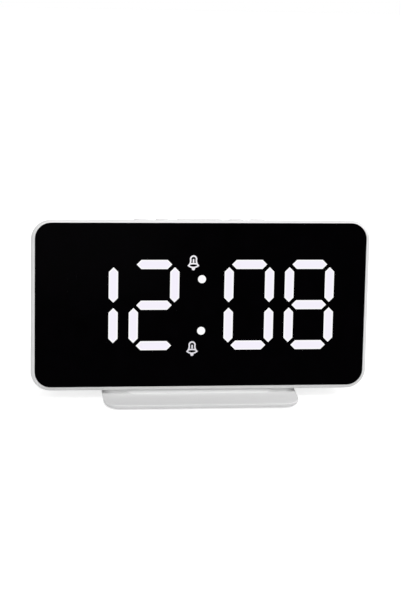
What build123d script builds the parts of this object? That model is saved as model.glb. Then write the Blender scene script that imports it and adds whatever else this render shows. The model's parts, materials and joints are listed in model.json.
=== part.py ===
from build123d import *
from math import cos, radians, sin, sqrt, tan
import os

# Desk clock with four LED digits, in millimetres and degrees, standing on the plane Z = 0.
# The face leans back, and the case walls draft by the same angle, so the case's underside is level.
LEAN = 10.0

# Front panel and the tape that holds it
PANEL_WIDTH = 165.2
PANEL_HEIGHT = 82.2
PANEL_CORNER = 8.0
PANEL_THICKNESS = 2.0
PANEL_RECESS = 0.4
PANEL_GAP = 0.1
TAPE_THICKNESS = 0.2
TAPE_INSET = 0.5

# Bezel and rear cover
RIM_TOP = 1.2
RIM_SIDE = 1.9
RIM_BOTTOM = 1.9
RIM_ROUND = 2.2
RIM_LAND = 0.2
BEZEL_DEPTH = 8.4
CASE_DEPTH = 29.4
WALL = 2.0
REAR_ROUND = 4.0
SEAM_BREAK = 0.25
SEAT_THICKNESS = 2.0
SEAT_SIDE = 13.0
SEAT_EDGE = 4.0
LIP_HEIGHT = 1.6
LIP_THICKNESS = 1.0
LIP_GAP = 0.15
LIP_ROOT = 2.5

# Digits: seven bars with pointed ends round two cells, and what the clock shows
DIGIT_EDGE = 18.44
DIGIT_SIDE = 15.97
PAIR_GAP = 5.44
COLON_GAP = 22.54
STROKE = 4.6
SEGMENT_GAP = 1.9
DOT_DIAMETER = 4.05
DOT_INSET = 9.66
GUIDE_GAP = 0.04
SEGMENT_CELLS = {
    "a": (0, 1, 0),
    "b": (0.5, 0.5, 90),
    "c": (0.5, -0.5, 90),
    "d": (0, -1, 0),
    "e": (-0.5, -0.5, 90),
    "f": (-0.5, 0.5, 90),
    "g": (0, 0, 0),
}
SHOWN = ("bc", "abdeg", "abcdef", "abcdefg")

# Alarm bells beside the colon
BELL_WIDTH = 6.0
BELL_HEIGHT = 7.5
BELL_STROKE = 0.75
BELL_SHIFT = -4.4
UPPER_BELL_INSET = 1.46
LOWER_BELL_INSET = 0.66
BELL_MASK_DEPTH = 1.0
BELL_DOME_RADIUS = 1.85
BELL_LIP_V = -1.4
BELL_MOUTH_SAG = 1.3
BELL_FLARE_SAG = 0.5
BELL_MARK_HEIGHT = 1.8
BELL_MARK_V = 1.0
CLAPPER_RADIUS = 0.85

# Display: film, reflector, board and its LEDs
REFLECTOR_DEPTH = 7.9
REFLECTOR_MARGIN = 2.5
POCKET_MARGIN = 0.35
PEG_RADIUS = 1.0
PEG_INSET = 1.8
PEG_HEAD = 0.5
PEG_GAP = 0.1
BOARD_THICKNESS = 1.6
BOARD_SCREW_EDGE = 21.1
BOARD_BOSS_RADIUS = 2.6
BOARD_EDGE = 0.5
LED_LENGTH = 2.0
LED_WIDTH = 1.25
LED_HEIGHT = 0.7
LEDS_PER_SEGMENT = 2
LED_PITCH = 7.0

# Self-tapping screws: head and shank radii, head height, and how deep each bites
SHANK_GAP = 0.03
SHANK_ROOM = 0.3
BITE_ROOM = 0.3
CROSS_WIDTH = 0.6
CROSS_MARGIN = 0.7
CROSS_DEPTH = 0.8
HEAD_EDGE = 0.5
CASE_HEAD_RADIUS = 2.4
CASE_HEAD_HEIGHT = 1.8
CASE_SHANK_RADIUS = 1.3
CASE_BITE = 4.5
CASE_BOSS_RADIUS = 3.2
WELL_GAP = 0.5
WELL_WALL = 1.3
WELL_FLOOR = 3.0
WELL_EDGE = 0.8
SMALL_HEAD_RADIUS = 2.0
SMALL_HEAD_HEIGHT = 1.3
SMALL_SHANK_RADIUS = 1.0
SMALL_BITE = 5.0
BASE_HEAD_RADIUS = 2.8
BASE_HEAD_HEIGHT = 2.0
BASE_SHANK_RADIUS = 1.45
BASE_BITE = 7.0
BASE_HEAD_GAP = 0.3
BASE_HEAD_SINK = 0.3
BASE_BOSS_RADIUS = 3.4

# Keys on the top
KEY_WIDTH = 7.4
SNOOZE_WIDTH = 22.8
KEY_SPACING = 3.4
KEY_DEPTH = 6.0
KEY_CORNER = 2.2
KEY_PROUD = 1.1
KEY_TRAVEL = 0.5
KEY_EDGE = 0.35
KEY_GAP = 0.25
KEY_SETBACK = 7.3
FLANGE_REACH = 1.2
FLANGE_THICKNESS = 1.0
FLANGE_PLAY = 0.1
STEM_RADIUS = 1.5
STEM_LENGTH = 1.3
PLUNGER_RADIUS = 1.7
PLUNGER_PROUD = 0.8
PLUNGER_SUNK = 0.8
PLUNGER_GAP = 0.15
PLUNGER_ROOM = 0.2
SWITCH_SIZE = 6.0
SWITCH_HEIGHT = 3.5
KEY_BOARD_DEPTH = 9.0
KEY_BOARD_THICKNESS = 1.2
KEY_POST_RADIUS = 2.6
KEY_POST_GAP = 0.6
KEY_BOARD_END = 0.8
RIBBON_WIDTH = 8.0
RIBBON_THICKNESS = 0.5
RIBBON_BEND = 1.0
RIBBON_EXIT = 2.0
RIBBON_U = -8.5
RIBBON_INSET = 16.25

# Backup cell, its bay in the rear cover, its contacts and its twist cap
BAY_INSET = 42.6
BAY_V = -8.0
BAY_WALL = 1.2
COIN_RADIUS = 10.0
COIN_HEIGHT = 3.2
COIN_EDGE = 0.3
COIN_GAP = 0.3
CONTACT_THICKNESS = 0.4
CONTACT_WIDTH = 5.0
CONTACT_LENGTH = 14.0
TAIL_WIDTH = 2.0
TAIL_LENGTH = 1.5
TAIL_GAP = 0.15
LEAD_RADIUS = 0.5
LEAD_BEND = 0.8
LEAD_JOG = 5.0
PLUG_GAP = 0.2
PLUG_LAND = 0.9
LUG_REACH = 1.3
LUG_WIDTH = 8.0
LUG_THICKNESS = 1.0
LUG_TURN = 60.0
NOTCH_GAP = 0.4
THROAT_LENGTH = 1.2
CAP_BRIM = 1.0
CAP_THICKNESS = 1.8
CAP_GAP = 0.2
CAP_FLOAT = 0.1
CAP_EDGE = 0.3
COIN_SLOT_LENGTH = 15.0
COIN_SLOT_WIDTH = 1.8
COIN_SLOT_DEPTH = 0.9

# Power inlet
JACK_INSET = 30.6
JACK_V = -14.0
JACK_SIZE = 9.0
JACK_WALL_GAP = 0.3
NOSE_RADIUS = 3.9
NOSE_GAP = 0.2
NOSE_SINK = 0.2
NOSE_BORE_RADIUS = 2.75
NOSE_BORE_DEPTH = 9.0
PIN_RADIUS = 1.0
PIN_SHORT = 1.2

# Sounder and its holes in the rear cover
BUZZER_U = -20.0
BUZZER_V = 4.0
BUZZER_RADIUS = 6.0
BUZZER_HEIGHT = 8.5
BUZZER_PORT_RADIUS = 1.0
BUZZER_PORT_DEPTH = 2.0
SOUND_HOLE_RADIUS = 0.9
SOUND_RING = 4.0
SOUND_RING_HOLES = 6
SOUND_RINGS = 2

# Other parts on the back of the display board
CHIP_PLACE = (6.0, 4.0)
CHIP_SIZE = (18.0, 7.5)
CHIP_HEIGHT = 2.3
CHIP_LIFT = 0.2
CHIP_LEGS = 14
CHIP_LEG_PITCH = 1.27
CHIP_LEG_SIZE = (0.45, 1.4)
CHIP_LEG_HEIGHT = 1.0
CHIP_LEG_ROOT = 0.2
DRIVER_PLACE = (0.0, -16.0)
DRIVER_SPREAD = 18.0
DRIVER_COUNT = 2
DRIVER_SIZE = (10.0, 4.0)
DRIVER_HEIGHT = 1.6
RESISTOR_PLACE = (-34.0, -21.0)
RESISTOR_PITCH = 3.5
RESISTOR_COUNT = 5
RESISTOR_SIZE = (1.25, 2.0)
RESISTOR_HEIGHT = 0.5
CRYSTAL_PLACE = (6.0, 13.0)
CRYSTAL_SIZE = (11.0, 4.6)
CRYSTAL_HEIGHT = 3.5
CRYSTAL_EDGE = 0.5
CAPACITOR_V = 6.0
CAPACITOR_SPREAD = 10.0
CAPACITOR_COUNT = 2
CAPACITOR_RADIUS = 3.15
CAPACITOR_HEIGHT = 7.0
CAPACITOR_EDGE = 0.4

# Base plate with its neck, and the feet
BASE_WIDTH = 97.8
BASE_DEPTH = 60.0
BASE_CORNER = 8.0
BASE_THICKNESS = 2.6
BASE_ROUND = 0.3
BASE_LOWER_ROUND = 2.0
BASE_REACH = 17.0
NECK_WIDTH = 74.5
NECK_DEPTH = 25.0
NECK_HEIGHT = 1.4
NECK_CORNER = 3.0
NECK_PROUD = 0.5
NECK_SLOPE = 45.0
SHOULDER_DEPTH = 23.0
SHOULDER_SETBACK = 0.6
SHOULDER_INSET = 0.7
BASE_SCREW_SPREAD = 50.0
FOOT_RADIUS = 5.0
FOOT_GAP = 0.1
FOOT_SINK = 0.6
FOOT_PROUD = 0.5
FOOT_INSET = 9.0
FOOT_EDGE = 0.2

# Outer sizes of the case, and how far the panel's middle stands above the case's
CASE_WIDTH = PANEL_WIDTH + 2 * RIM_SIDE
CASE_HEIGHT = PANEL_HEIGHT + RIM_TOP + RIM_BOTTOM
CASE_CORNER = PANEL_CORNER + RIM_SIDE
PANEL_RAISE = (RIM_BOTTOM - RIM_TOP) / 2

# Levels along the face normal, from the panel's front towards the rear
RIM_FRONT = PANEL_RECESS
WIDEST = RIM_FRONT - RIM_ROUND - RIM_LAND
PARTING = RIM_FRONT - BEZEL_DEPTH
REAR = RIM_FRONT - CASE_DEPTH
INNER_REAR = REAR + WALL
SEAT = -PANEL_THICKNESS - TAPE_THICKNESS
SEAT_BACK = SEAT - SEAT_THICKNESS
BOARD_FRONT = SEAT - REFLECTOR_DEPTH
BOARD_BACK = BOARD_FRONT - BOARD_THICKNESS
HEAD_SEAT = PARTING - WELL_FLOOR

# Heights of the base, and the leaning plane of the panel's front, with X along its width:
# FACE lies about the panel's middle, CASE about the middle of the case
BASE_TOP = FOOT_PROUD + BASE_THICKNESS
CASE_BOTTOM = BASE_TOP + NECK_HEIGHT
LEAN_SIN = sin(radians(LEAN))
LEAN_COS = cos(radians(LEAN))
LEAN_TAN = tan(radians(LEAN))
LOWER_EDGE_Y = -BASE_DEPTH / 2 + BASE_REACH
CASE_Y = LOWER_EDGE_Y + CASE_HEIGHT / 2 * LEAN_SIN + WIDEST * LEAN_COS
CASE_Z = CASE_BOTTOM + CASE_HEIGHT / 2 * LEAN_COS - WIDEST * LEAN_SIN
CASE = Plane(origin=(0, CASE_Y, CASE_Z), x_dir=(1, 0, 0), z_dir=(0, -LEAN_COS, LEAN_SIN))
FACE = CASE.shift_origin(CASE.from_local_coords(Vector(0, PANEL_RAISE, 0)))
OUTWARD = Axis((0, 0, 0), FACE.z_dir)


def case_section(level, inset=0.0):
    """Width, height and corner radius of the drafted case at a level, less an inset all round."""
    shrink = (WIDEST - level) * LEAN_TAN + inset
    return CASE_WIDTH - 2 * shrink, CASE_HEIGHT - 2 * shrink, CASE_CORNER - shrink


# Screw wells stand as near the corners as the flat of the rear face lets them
WELL_RADIUS = CASE_HEAD_RADIUS + WELL_GAP
PILLAR_RADIUS = WELL_RADIUS + WELL_WALL
REAR_TANGENT = REAR_ROUND / tan(radians((90 + LEAN) / 2))
REAR_WIDTH, REAR_HEIGHT = case_section(REAR)[:2]
CASE_SCREW_U = REAR_WIDTH / 2 - REAR_TANGENT - WELL_RADIUS - WELL_EDGE
CASE_SCREW_V = REAR_HEIGHT / 2 - REAR_TANGENT - WELL_RADIUS - WELL_EDGE

# Display places, worked out from the digits
DIGIT_HEIGHT = PANEL_HEIGHT - 2 * DIGIT_EDGE
DIGIT_WIDTH = (PANEL_WIDTH - 2 * DIGIT_SIDE - 2 * PAIR_GAP - COLON_GAP) / 4
CELL_WIDTH = DIGIT_WIDTH - STROKE
CELL_HEIGHT = (DIGIT_HEIGHT - STROKE) / 2
TIP_GAP = SEGMENT_GAP * sqrt(2)
INNER_DIGIT_U = (COLON_GAP + DIGIT_WIDTH) / 2
OUTER_DIGIT_U = INNER_DIGIT_U + DIGIT_WIDTH + PAIR_GAP
DIGIT_CENTRES = (-OUTER_DIGIT_U, -INNER_DIGIT_U, INNER_DIGIT_U, OUTER_DIGIT_U)
UPPER_BELL_V = DIGIT_HEIGHT / 2 - UPPER_BELL_INSET
LOWER_BELL_V = LOWER_BELL_INSET - DIGIT_HEIGHT / 2
BELL_PLACES = ((BELL_SHIFT, UPPER_BELL_V), (BELL_SHIFT, LOWER_BELL_V))
DOT_V = DIGIT_HEIGHT / 2 - DOT_INSET
DOT_PLACES = ((0, DOT_V), (0, -DOT_V))
DISPLAY_REACH = max(DIGIT_HEIGHT / 2, UPPER_BELL_V + BELL_HEIGHT / 2, BELL_HEIGHT / 2 - LOWER_BELL_V)
REFLECTOR_WIDTH = PANEL_WIDTH - 2 * DIGIT_SIDE + 2 * REFLECTOR_MARGIN
REFLECTOR_HEIGHT = 2 * (DISPLAY_REACH + REFLECTOR_MARGIN)
BOARD_SCREW_U = PANEL_WIDTH / 2 - SEAT_SIDE / 2
BOARD_SCREW_V = PANEL_HEIGHT / 2 - BOARD_SCREW_EDGE
EAR_REACH = BOARD_BOSS_RADIUS + BOARD_EDGE

# Key plane: the drafted top of the case, with its normal out of the top and X along the row
KEY_LEVEL = PARTING - KEY_SETBACK
KEY_V = case_section(KEY_LEVEL)[1] / 2
KEY_ORIGIN = CASE.from_local_coords(Vector(0, KEY_V, KEY_LEVEL))
KEYS = Plane(
    origin=KEY_ORIGIN,
    x_dir=(1, 0, 0),
    z_dir=(0, sin(radians(2 * LEAN)), cos(radians(2 * LEAN))),
)
TOP_WALL = WALL * LEAN_COS
FLANGE_TOP = -TOP_WALL - FLANGE_PLAY
FLANGE_BOTTOM = FLANGE_TOP - FLANGE_THICKNESS
STEM_BOTTOM = FLANGE_BOTTOM - STEM_LENGTH
SWITCH_TOP = STEM_BOTTOM - PLUNGER_PROUD
KEY_BOARD_TOP = SWITCH_TOP - SWITCH_HEIGHT
KEY_BOARD_BOTTOM = KEY_BOARD_TOP - KEY_BOARD_THICKNESS
INNER_KEY_U = SNOOZE_WIDTH / 2 + KEY_SPACING + KEY_WIDTH / 2
OUTER_KEY_U = INNER_KEY_U + KEY_WIDTH + KEY_SPACING
KEY_ROW = {
    "left_outer": (-OUTER_KEY_U, KEY_WIDTH),
    "left_inner": (-INNER_KEY_U, KEY_WIDTH),
    "snooze": (0.0, SNOOZE_WIDTH),
    "right_inner": (INNER_KEY_U, KEY_WIDTH),
    "right_outer": (OUTER_KEY_U, KEY_WIDTH),
}
KEY_PLACES = [(key_u, 0) for key_u, key_width in KEY_ROW.values()]
KEY_POST_U = OUTER_KEY_U + KEY_WIDTH / 2 + FLANGE_REACH + KEY_POST_GAP + KEY_POST_RADIUS
KEY_POST_PLACES = ((-KEY_POST_U, 0), (KEY_POST_U, 0))
KEY_BOARD_LENGTH = 2 * (KEY_POST_U + KEY_POST_RADIUS + KEY_BOARD_END)

# Places at the rear, counted in from the panel's sides
BAY_U = PANEL_WIDTH / 2 - BAY_INSET
JACK_U = JACK_INSET - PANEL_WIDTH / 2

# Cell bay, from the rear face inwards
CHAMBER_RADIUS = COIN_RADIUS + COIN_GAP
PLUG_RADIUS = CHAMBER_RADIUS + PLUG_LAND
THROAT_RADIUS = PLUG_RADIUS + PLUG_GAP
LUG_RADIUS = PLUG_RADIUS + LUG_REACH
GROOVE_RADIUS = LUG_RADIUS + CAP_GAP
CAP_RADIUS = GROOVE_RADIUS + CAP_BRIM
RECESS_RADIUS = CAP_RADIUS + CAP_GAP
BAY_RADIUS = RECESS_RADIUS + BAY_WALL
RECESS_FLOOR = REAR + CAP_THICKNESS + CAP_FLOAT
THROAT_END = RECESS_FLOOR + THROAT_LENGTH
GROOVE_END = THROAT_END + LUG_THICKNESS + 2 * CAP_FLOAT
COIN_FRONT = GROOVE_END + COIN_HEIGHT
BAY_FLOOR = COIN_FRONT + CONTACT_THICKNESS
BAY_FRONT = BAY_FLOOR + BAY_WALL
CLIP_REACH = COIN_GAP + CONTACT_THICKNESS
CLIP_V = BAY_V + COIN_RADIUS + CLIP_REACH / 2
TAIL_END = BAY_FRONT + TAIL_LENGTH

# Neck of the base, with the wider shoulder behind its front, and the screws
NECK_Y = LOWER_EDGE_Y - NECK_PROUD + NECK_DEPTH / 2
NECK_FLARE = NECK_HEIGHT * tan(radians(NECK_SLOPE))
SHOULDER_WIDTH = BASE_WIDTH - 2 * (SHOULDER_INSET + NECK_FLARE)
SHOULDER_Y = LOWER_EDGE_Y + SHOULDER_SETBACK + SHOULDER_DEPTH / 2
NECK_STEPS = ((NECK_WIDTH, NECK_DEPTH, NECK_Y), (SHOULDER_WIDTH, SHOULDER_DEPTH, SHOULDER_Y))
BASE_SCREW_PLACES = ((-BASE_SCREW_SPREAD / 2, NECK_Y), (BASE_SCREW_SPREAD / 2, NECK_Y))
BASE_HEAD_LEVEL = FOOT_PROUD + BASE_HEAD_SINK + BASE_HEAD_HEIGHT
FOOT_U = BASE_WIDTH / 2 - FOOT_INSET
FOOT_Y = BASE_DEPTH / 2 - FOOT_INSET


def bar_points(cell_side, grow=0.0):
    """Corners of the pointed bar along one side of a cell, its sides moved out by a given amount."""
    half = STROKE / 2 + grow
    tip = (cell_side - TIP_GAP) / 2 + grow * sqrt(2)
    return [
        (tip, 0),
        (tip - half, half),
        (half - tip, half),
        (-tip, 0),
        (half - tip, -half),
        (tip - half, -half),
    ]


def bar_places(lit):
    """Place of every bar on the face that is lit, or of every one that is not, with its cell's side."""
    places = []
    for centre, shown in zip(DIGIT_CENTRES, SHOWN):
        for letter, (across, up, turn) in SEGMENT_CELLS.items():
            if (letter in shown) == lit:
                place = Location((centre + across * CELL_WIDTH, up * CELL_HEIGHT, 0), (0, 0, turn))
                places.append((place, CELL_HEIGHT if turn else CELL_WIDTH))
    return places


def draw_bars(bars, grow=0.0, mode=Mode.ADD):
    """Draw pointed bars at their places in the sketch at hand."""
    for place, cell_side in bars:
        with Locations(place):
            Polygon(*bar_points(cell_side, grow), mode=mode)


LIT_BARS = bar_places(True)
UNLIT_BARS = bar_places(False)
ALL_BARS = LIT_BARS + UNLIT_BARS


def finish(part, name):
    """Label one finished piece and write it under its own name."""
    part.label = name
    export_step(part, f"parts/{name}.step")


os.makedirs("parts", exist_ok=True)

# Bell sign: a dome that flares to a lip, the mouth below it and the clapper
BELL_SHOULDER_V = BELL_HEIGHT / 2 - BELL_DOME_RADIUS
BELL_BAND_V = BELL_LIP_V + BELL_STROKE
with BuildSketch() as bell_shape:
    with BuildLine():
        dome = ThreePointArc(
            (-BELL_DOME_RADIUS, BELL_SHOULDER_V),
            (0, BELL_HEIGHT / 2),
            (BELL_DOME_RADIUS, BELL_SHOULDER_V),
        )
        SagittaArc(dome @ 1, (BELL_WIDTH / 2, BELL_LIP_V), -BELL_FLARE_SAG)
        ThreePointArc(
            (BELL_WIDTH / 2, BELL_LIP_V),
            (0, BELL_LIP_V - BELL_MOUTH_SAG),
            (-BELL_WIDTH / 2, BELL_LIP_V),
        )
        SagittaArc((-BELL_WIDTH / 2, BELL_LIP_V), dome @ 0, -BELL_FLARE_SAG)
    make_face()

with BuildSketch() as bell_silhouette:
    add(bell_shape.sketch)
    with Locations((0, CLAPPER_RADIUS - BELL_HEIGHT / 2)):
        Circle(CLAPPER_RADIUS)

with BuildSketch() as bell_guide:
    offset(bell_silhouette.sketch, amount=-GUIDE_GAP)

# Black infill of the bell: its inside, less the band over the mouth, the mark and the clapper
with BuildSketch() as bell_mask:
    offset(bell_shape.sketch, amount=-BELL_STROKE)
    with BuildLine():
        lower = ThreePointArc(
            (-BELL_WIDTH / 2, BELL_LIP_V),
            (0, BELL_LIP_V + BELL_MOUTH_SAG / 2),
            (BELL_WIDTH / 2, BELL_LIP_V),
        )
        upper = ThreePointArc(
            (BELL_WIDTH / 2, BELL_BAND_V),
            (0, BELL_BAND_V + BELL_MOUTH_SAG / 2),
            (-BELL_WIDTH / 2, BELL_BAND_V),
        )
        Line(lower @ 1, upper @ 0)
        Line(upper @ 1, lower @ 0)
    make_face(mode=Mode.SUBTRACT)
    with Locations((0, BELL_MARK_V)):
        Rectangle(BELL_STROKE, BELL_MARK_HEIGHT, mode=Mode.SUBTRACT)
    with Locations((0, CLAPPER_RADIUS - BELL_HEIGHT / 2)):
        Circle(CLAPPER_RADIUS, mode=Mode.SUBTRACT)

# Front bezel: rounded rim, drafted wall, seat for the panel, bosses for the board and the cover
with BuildPart() as front_bezel:
    with BuildSketch(CASE.offset(WIDEST)):
        RectangleRounded(*case_section(WIDEST))
    extrude(amount=RIM_FRONT - WIDEST)
    fillet(front_bezel.edges().group_by(OUTWARD)[-1], RIM_ROUND)
    with BuildSketch(CASE.offset(WIDEST)):
        RectangleRounded(*case_section(WIDEST))
    extrude(amount=PARTING - WIDEST, taper=LEAN)
    chamfer(front_bezel.edges().group_by(OUTWARD)[0], SEAM_BREAK)
    with BuildSketch(FACE.offset(RIM_FRONT)):
        RectangleRounded(PANEL_WIDTH, PANEL_HEIGHT, PANEL_CORNER)
    extrude(amount=SEAT - RIM_FRONT, mode=Mode.SUBTRACT)
    with BuildSketch(FACE.offset(SEAT)):
        Rectangle(PANEL_WIDTH - 2 * SEAT_SIDE, PANEL_HEIGHT - 2 * SEAT_EDGE)
    extrude(amount=-SEAT_THICKNESS, mode=Mode.SUBTRACT)
    with BuildSketch(CASE.offset(SEAT_BACK)):
        RectangleRounded(*case_section(SEAT_BACK, WALL))
    extrude(amount=PARTING - SEAT_BACK, taper=LEAN, mode=Mode.SUBTRACT)
    with BuildSketch(CASE.offset(SEAT_BACK)):
        with GridLocations(2 * CASE_SCREW_U, 2 * CASE_SCREW_V, 2, 2):
            Circle(CASE_BOSS_RADIUS)
    extrude(amount=PARTING - SEAT_BACK)
    with BuildSketch(FACE.offset(SEAT_BACK)):
        with GridLocations(2 * BOARD_SCREW_U, 2 * BOARD_SCREW_V, 2, 2):
            Circle(BOARD_BOSS_RADIUS)
    extrude(amount=BOARD_FRONT - SEAT_BACK)
    with BuildSketch(CASE.offset(PARTING)):
        with GridLocations(2 * CASE_SCREW_U, 2 * CASE_SCREW_V, 2, 2):
            Circle(CASE_SHANK_RADIUS + SHANK_GAP)
    extrude(amount=CASE_BITE + BITE_ROOM, mode=Mode.SUBTRACT)
    with BuildSketch(FACE.offset(BOARD_FRONT)):
        with GridLocations(2 * BOARD_SCREW_U, 2 * BOARD_SCREW_V, 2, 2):
            Circle(SMALL_SHANK_RADIUS + SHANK_GAP)
    extrude(amount=SMALL_BITE + BITE_ROOM, mode=Mode.SUBTRACT)
finish(front_bezel.part, "front_bezel")

# Rear cover: drafted tub with a lip into the bezel, screw pillars, key slots and posts, cell bay,
# sound holes, inlet hole and the bosses that the base screws bite
LIP_WIDTH, LIP_TALL, LIP_CORNER = case_section(PARTING, WALL + LIP_GAP)
LIP_END = PARTING - LIP_ROOT
with BuildPart() as rear_cover:
    with BuildSketch(CASE.offset(PARTING)):
        RectangleRounded(*case_section(PARTING))
    extrude(amount=REAR - PARTING, taper=LEAN)
    fillet(rear_cover.edges().group_by(OUTWARD)[0], REAR_ROUND)
    chamfer(rear_cover.edges().group_by(OUTWARD)[-1], SEAM_BREAK)
    with BuildSketch(CASE.offset(PARTING)):
        RectangleRounded(LIP_WIDTH, LIP_TALL, LIP_CORNER)
    extrude(amount=LIP_HEIGHT)
    with BuildSketch(CASE.offset(PARTING + LIP_HEIGHT)):
        RectangleRounded(
            LIP_WIDTH - 2 * LIP_THICKNESS, LIP_TALL - 2 * LIP_THICKNESS, LIP_CORNER - LIP_THICKNESS
        )
    extrude(amount=-LIP_HEIGHT - LIP_ROOT, mode=Mode.SUBTRACT)
    with BuildSketch(CASE.offset(LIP_END)):
        RectangleRounded(*case_section(LIP_END, WALL))
    extrude(amount=INNER_REAR - LIP_END, taper=LEAN, mode=Mode.SUBTRACT)
    with BuildSketch(CASE.offset(PARTING)):
        with GridLocations(2 * CASE_SCREW_U, 2 * CASE_SCREW_V, 2, 2):
            Circle(PILLAR_RADIUS)
    extrude(amount=INNER_REAR - WALL / 2 - PARTING)
    with BuildSketch(FACE.offset(BAY_FRONT)):
        with Locations((BAY_U, BAY_V)):
            Circle(BAY_RADIUS)
    extrude(amount=INNER_REAR - WALL / 2 - BAY_FRONT)
    with BuildSketch(KEYS.offset(KEY_BOARD_TOP)):
        with Locations(*KEY_POST_PLACES):
            Circle(KEY_POST_RADIUS)
    extrude(amount=-KEY_BOARD_TOP - TOP_WALL / 2)
    with BuildSketch(Plane.XY.offset(CASE_BOTTOM)):
        with Locations(*BASE_SCREW_PLACES):
            Circle(BASE_BOSS_RADIUS)
    extrude(amount=BASE_BITE + BITE_ROOM + WALL)
    # Screw wells and their through holes
    with BuildSketch(CASE.offset(REAR)):
        with GridLocations(2 * CASE_SCREW_U, 2 * CASE_SCREW_V, 2, 2):
            Circle(WELL_RADIUS)
    extrude(amount=HEAD_SEAT - REAR, mode=Mode.SUBTRACT)
    with BuildSketch(CASE.offset(HEAD_SEAT)):
        with GridLocations(2 * CASE_SCREW_U, 2 * CASE_SCREW_V, 2, 2):
            Circle(CASE_SHANK_RADIUS + SHANK_ROOM)
    extrude(amount=WELL_FLOOR, mode=Mode.SUBTRACT)
    # Key slots and the pilot holes of the posts
    with BuildSketch(KEYS.offset(TOP_WALL)):
        for key_u, key_width in KEY_ROW.values():
            with Locations((key_u, 0)):
                RectangleRounded(key_width + 2 * KEY_GAP, KEY_DEPTH + 2 * KEY_GAP, KEY_CORNER + KEY_GAP)
    extrude(amount=FLANGE_TOP - TOP_WALL, mode=Mode.SUBTRACT)
    with BuildSketch(KEYS.offset(KEY_BOARD_TOP)):
        with Locations(*KEY_POST_PLACES):
            Circle(SMALL_SHANK_RADIUS + SHANK_GAP)
    extrude(amount=SMALL_BITE + BITE_ROOM, mode=Mode.SUBTRACT)
    # Cell bay: recess for the cap, throat with notches, groove for the lugs, chamber and slots
    with BuildSketch(FACE.offset(REAR)):
        with Locations((BAY_U, BAY_V)):
            Circle(RECESS_RADIUS)
    extrude(amount=RECESS_FLOOR - REAR, mode=Mode.SUBTRACT)
    with BuildSketch(FACE.offset(RECESS_FLOOR)):
        with Locations((BAY_U, BAY_V)):
            Circle(GROOVE_RADIUS)
            Rectangle(2 * GROOVE_RADIUS, LUG_WIDTH + 2 * NOTCH_GAP, rotation=-LUG_TURN, mode=Mode.INTERSECT)
            Circle(THROAT_RADIUS)
    extrude(amount=THROAT_LENGTH, mode=Mode.SUBTRACT)
    with BuildSketch(FACE.offset(THROAT_END)):
        with Locations((BAY_U, BAY_V)):
            Circle(GROOVE_RADIUS)
    extrude(amount=GROOVE_END - THROAT_END, mode=Mode.SUBTRACT)
    with BuildSketch(FACE.offset(GROOVE_END)):
        with Locations((BAY_U, BAY_V)):
            Circle(CHAMBER_RADIUS)
        with Locations((BAY_U, CLIP_V)):
            Rectangle(CONTACT_WIDTH + 2 * TAIL_GAP, CLIP_REACH + 2 * TAIL_GAP)
    extrude(amount=BAY_FLOOR - GROOVE_END, mode=Mode.SUBTRACT)
    with BuildSketch(FACE.offset(BAY_FLOOR)):
        with Locations((BAY_U, BAY_V), (BAY_U, CLIP_V)):
            Rectangle(TAIL_WIDTH + 2 * TAIL_GAP, CONTACT_THICKNESS + 2 * TAIL_GAP)
    extrude(amount=BAY_WALL, mode=Mode.SUBTRACT)
    # Sound holes in rings round one hole, and the hole for the inlet's nose
    with BuildSketch(FACE.offset(REAR)):
        with Locations((BUZZER_U, BUZZER_V)):
            Circle(SOUND_HOLE_RADIUS)
        for ring in range(1, SOUND_RINGS + 1):
            with Locations((BUZZER_U, BUZZER_V)):
                with PolarLocations(ring * SOUND_RING, ring * SOUND_RING_HOLES):
                    Circle(SOUND_HOLE_RADIUS)
        with Locations((JACK_U, JACK_V)):
            Circle(NOSE_RADIUS + NOSE_GAP)
    extrude(amount=WALL, mode=Mode.SUBTRACT)
    # Pilot holes of the base screws, from below
    with BuildSketch(Plane.XY.offset(CASE_BOTTOM)):
        with Locations(*BASE_SCREW_PLACES):
            Circle(BASE_SHANK_RADIUS + SHANK_GAP)
    extrude(amount=BASE_BITE + BITE_ROOM, mode=Mode.SUBTRACT)
finish(rear_cover.part, "rear_cover")

# Front panel: black acrylic with a window for every bar, dot and bell
with BuildPart() as lens_panel:
    with BuildSketch(FACE):
        RectangleRounded(
            PANEL_WIDTH - 2 * PANEL_GAP, PANEL_HEIGHT - 2 * PANEL_GAP, PANEL_CORNER - PANEL_GAP
        )
        draw_bars(ALL_BARS, mode=Mode.SUBTRACT)
        with Locations(*DOT_PLACES):
            Circle(DOT_DIAMETER / 2, mode=Mode.SUBTRACT)
        with Locations(*BELL_PLACES):
            add(bell_silhouette.sketch, mode=Mode.SUBTRACT)
    extrude(amount=-PANEL_THICKNESS)
finish(lens_panel.part, "lens_panel")

# Tape ring between the panel and its seat
with BuildPart() as panel_tape:
    with BuildSketch(FACE.offset(-PANEL_THICKNESS)):
        RectangleRounded(
            PANEL_WIDTH - 2 * TAPE_INSET, PANEL_HEIGHT - 2 * TAPE_INSET, PANEL_CORNER - TAPE_INSET
        )
        Rectangle(
            PANEL_WIDTH - 2 * SEAT_SIDE + 2 * TAPE_INSET,
            PANEL_HEIGHT - 2 * SEAT_EDGE + 2 * TAPE_INSET,
            mode=Mode.SUBTRACT,
        )
    extrude(amount=-TAPE_THICKNESS)
finish(panel_tape.part, "panel_tape")

# Light guides: one translucent bar in each window, lit and unlit ones apart
with BuildPart() as lit_segments:
    with BuildSketch(FACE):
        draw_bars(LIT_BARS, -GUIDE_GAP)
    extrude(amount=-PANEL_THICKNESS)
finish(lit_segments.part, "lit_segments")

with BuildPart() as unlit_segments:
    with BuildSketch(FACE):
        draw_bars(UNLIT_BARS, -GUIDE_GAP)
    extrude(amount=-PANEL_THICKNESS)
finish(unlit_segments.part, "unlit_segments")

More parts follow.
